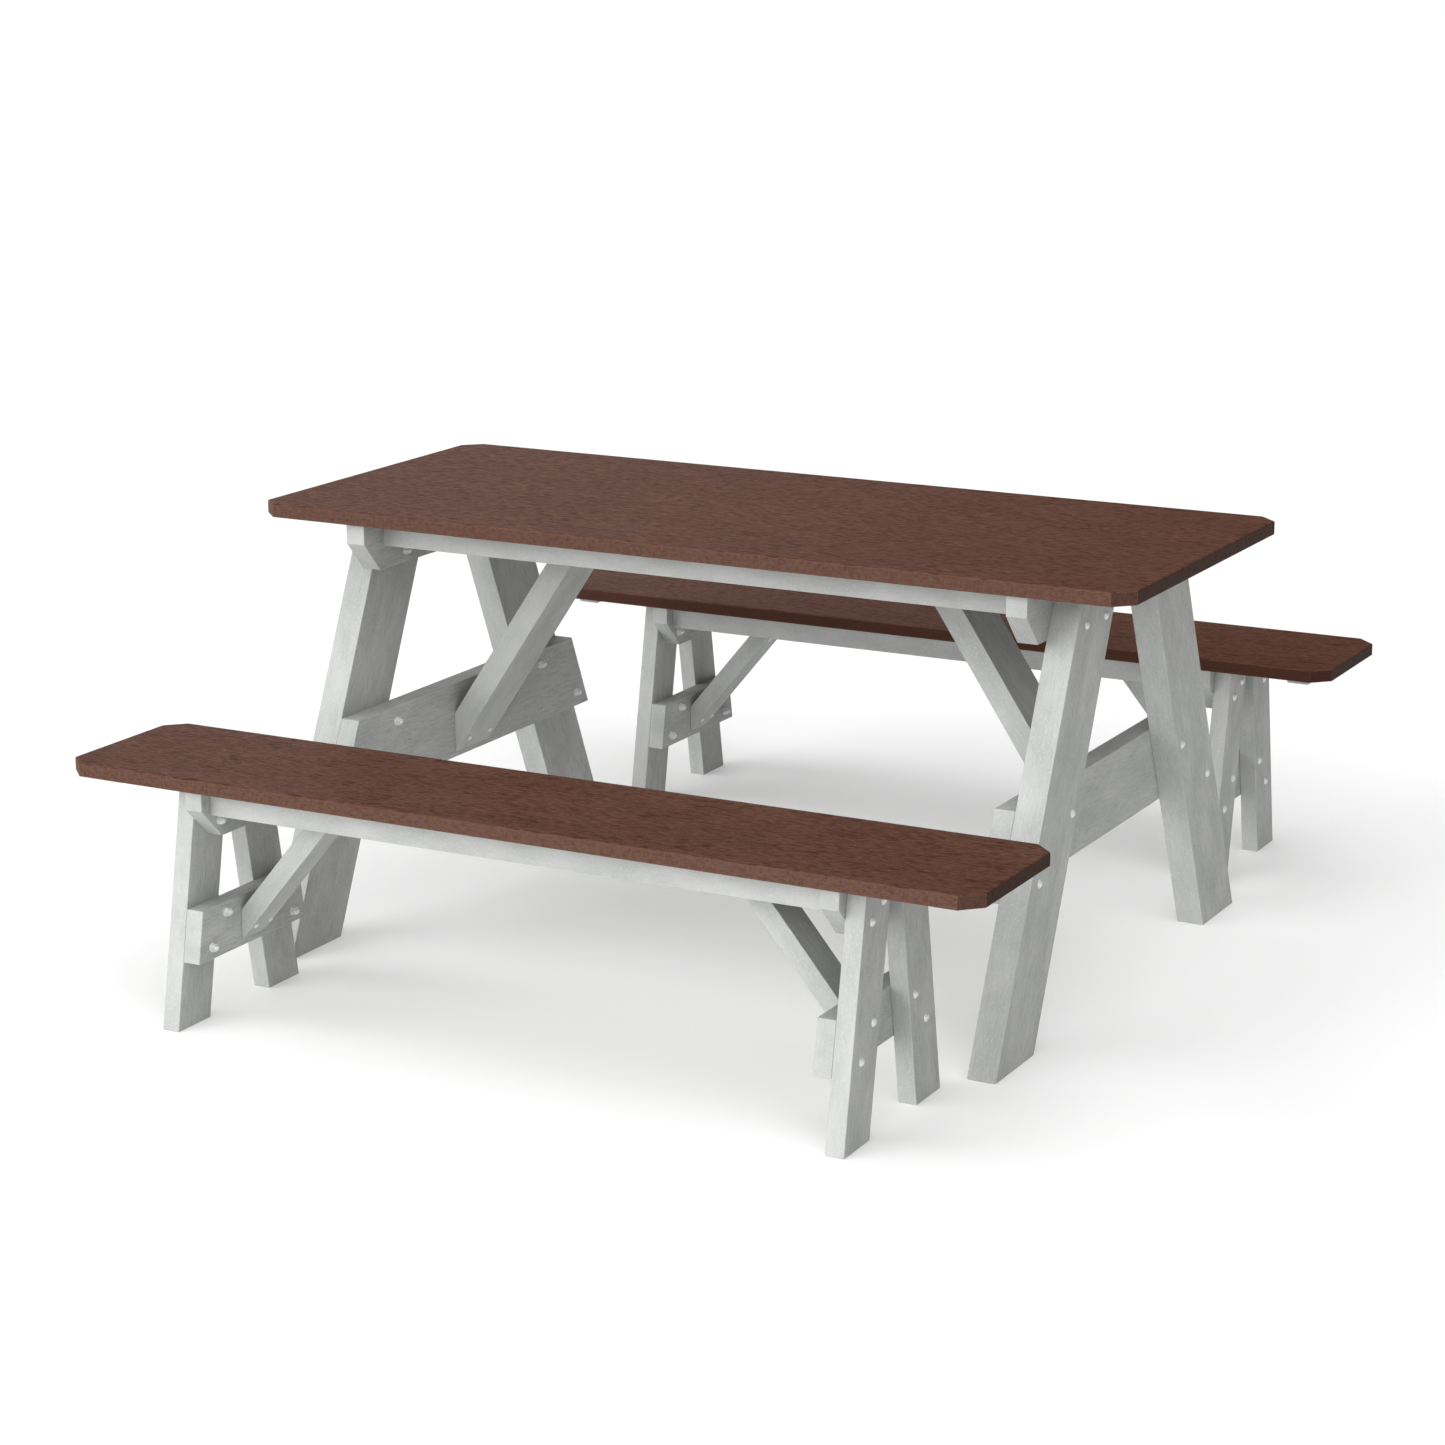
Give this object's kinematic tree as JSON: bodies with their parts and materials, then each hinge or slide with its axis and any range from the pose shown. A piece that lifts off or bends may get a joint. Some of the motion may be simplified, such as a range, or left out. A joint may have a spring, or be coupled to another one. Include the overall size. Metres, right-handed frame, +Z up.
{
  "type": "picnic table",
  "caption": "Picnic table with two separate benches: brown slabs with clipped corners on light grey splayed board frames, bolted and braced.",
  "frame": {"origin": "on the floor, midway between the two benches at rest, and 13 mm to the rear of the tabletop's centre", "axes": "+X along the tabletop's length, +Y across it from the front bench to the rear bench, +Z up"},
  "size_m": [1.651, 1.9254, 0.769],
  "materials": {
    "brown_slab": "satin brown stain with a fine streaked grain along the length",
    "grey_board": "satin light grey stain, finely mottled",
    "zinc_hardware": "zinc plated, slightly dulled"
  },
  "bodies": {
    "table": {"table_bolts": "zinc_hardware", "table_centre_rail": "grey_board", "table_front_left_leg": "grey_board", "table_front_rail": "grey_board", "table_front_right_leg": "grey_board", "table_left_brace": "grey_board", "table_left_cleat": "grey_board", "table_left_stretcher": "grey_board", "table_nuts": "zinc_hardware", "table_rear_left_leg": "grey_board", "table_rear_rail": "grey_board", "table_rear_right_leg": "grey_board", "table_right_brace": "grey_board", "table_right_cleat": "grey_board", "table_right_stretcher": "grey_board", "table_screws": "zinc_hardware", "table_washers": "zinc_hardware", "tabletop": "brown_slab"},
    "front_bench": {"front_bench_bolts": "zinc_hardware", "front_bench_centre_rail": "grey_board", "front_bench_front_left_leg": "grey_board", "front_bench_front_rail": "grey_board", "front_bench_front_right_leg": "grey_board", "front_bench_left_brace": "grey_board", "front_bench_left_cleat": "grey_board", "front_bench_left_end_batten": "grey_board", "front_bench_left_stretcher": "grey_board", "front_bench_nuts": "zinc_hardware", "front_bench_rear_left_leg": "grey_board", "front_bench_rear_rail": "grey_board", "front_bench_rear_right_leg": "grey_board", "front_bench_right_brace": "grey_board", "front_bench_right_cleat": "grey_board", "front_bench_right_end_batten": "grey_board", "front_bench_right_stretcher": "grey_board", "front_bench_screws": "zinc_hardware", "front_bench_seat": "brown_slab", "front_bench_washers": "zinc_hardware"},
    "rear_bench": {"rear_bench_bolts": "zinc_hardware", "rear_bench_centre_rail": "grey_board", "rear_bench_front_left_leg": "grey_board", "rear_bench_front_rail": "grey_board", "rear_bench_front_right_leg": "grey_board", "rear_bench_left_brace": "grey_board", "rear_bench_left_cleat": "grey_board", "rear_bench_left_end_batten": "grey_board", "rear_bench_left_stretcher": "grey_board", "rear_bench_nuts": "zinc_hardware", "rear_bench_rear_left_leg": "grey_board", "rear_bench_rear_rail": "grey_board", "rear_bench_rear_right_leg": "grey_board", "rear_bench_right_brace": "grey_board", "rear_bench_right_cleat": "grey_board", "rear_bench_right_end_batten": "grey_board", "rear_bench_right_stretcher": "grey_board", "rear_bench_screws": "zinc_hardware", "rear_bench_seat": "brown_slab", "rear_bench_washers": "zinc_hardware"}
  },
  "joints": [
    {"name": "front_bench_slide", "type": "slide", "parent": "table", "child": "front_bench", "axis": [0, -1, 0], "range_m": [-0.2, 0.3]},
    {"name": "rear_bench_slide", "type": "slide", "parent": "table", "child": "rear_bench", "axis": [0, 1, 0], "range_m": [-0.2, 0.3]}
  ]
}
